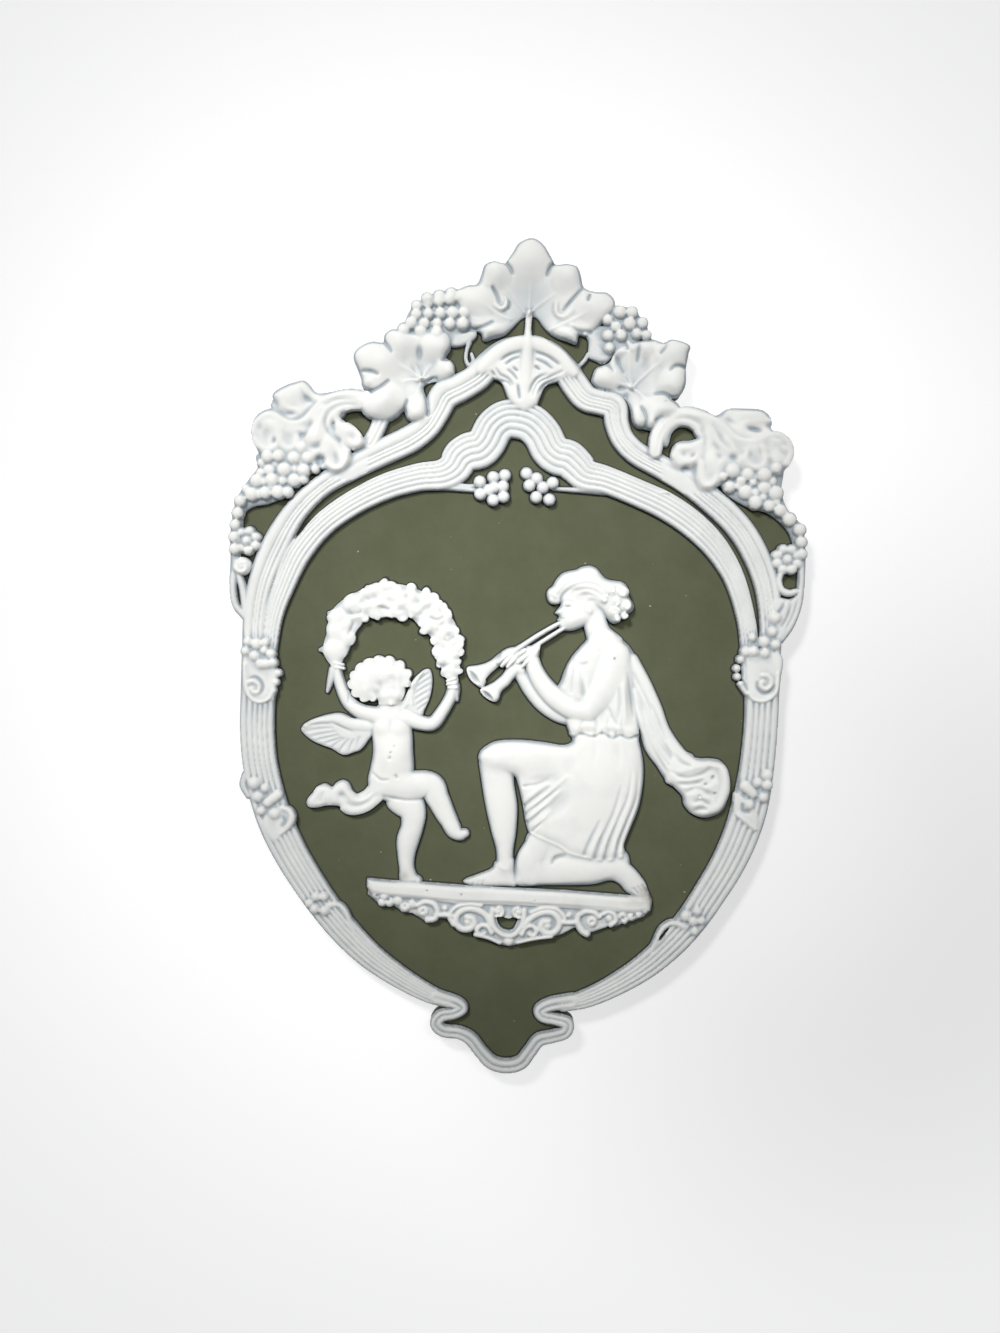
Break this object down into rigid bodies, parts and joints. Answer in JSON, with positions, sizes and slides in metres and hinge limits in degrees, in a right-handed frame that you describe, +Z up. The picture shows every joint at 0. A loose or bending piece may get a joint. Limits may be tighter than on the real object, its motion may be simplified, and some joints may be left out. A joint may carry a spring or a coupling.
{
  "type": "jasperware wall plaque",
  "caption": "Shaped stoneware wall plaque: a white frame of reeded ribbons, vine leaves and grapes round a white relief of a kneeling piper and a winged child with a garland, on olive green",
  "frame": {"origin": "on the flat back, at the middle of the plaque's width and height, where it lies against the wall", "axes": "+X to the viewer's right, +Z up, the relief faces -Y and the back faces +Y"},
  "size_m": [0.1448, 0.0118, 0.2097],
  "materials": {
    "green_jasper": "unglazed, matt, olive green all through",
    "white_jasper": "unglazed, matt, white, a little see-through where thin"
  },
  "bodies": {
    "root": {"green_ground": "green_jasper", "vine_frame": "white_jasper", "piper_and_cupid": "white_jasper"}
  },
  "joints": []
}
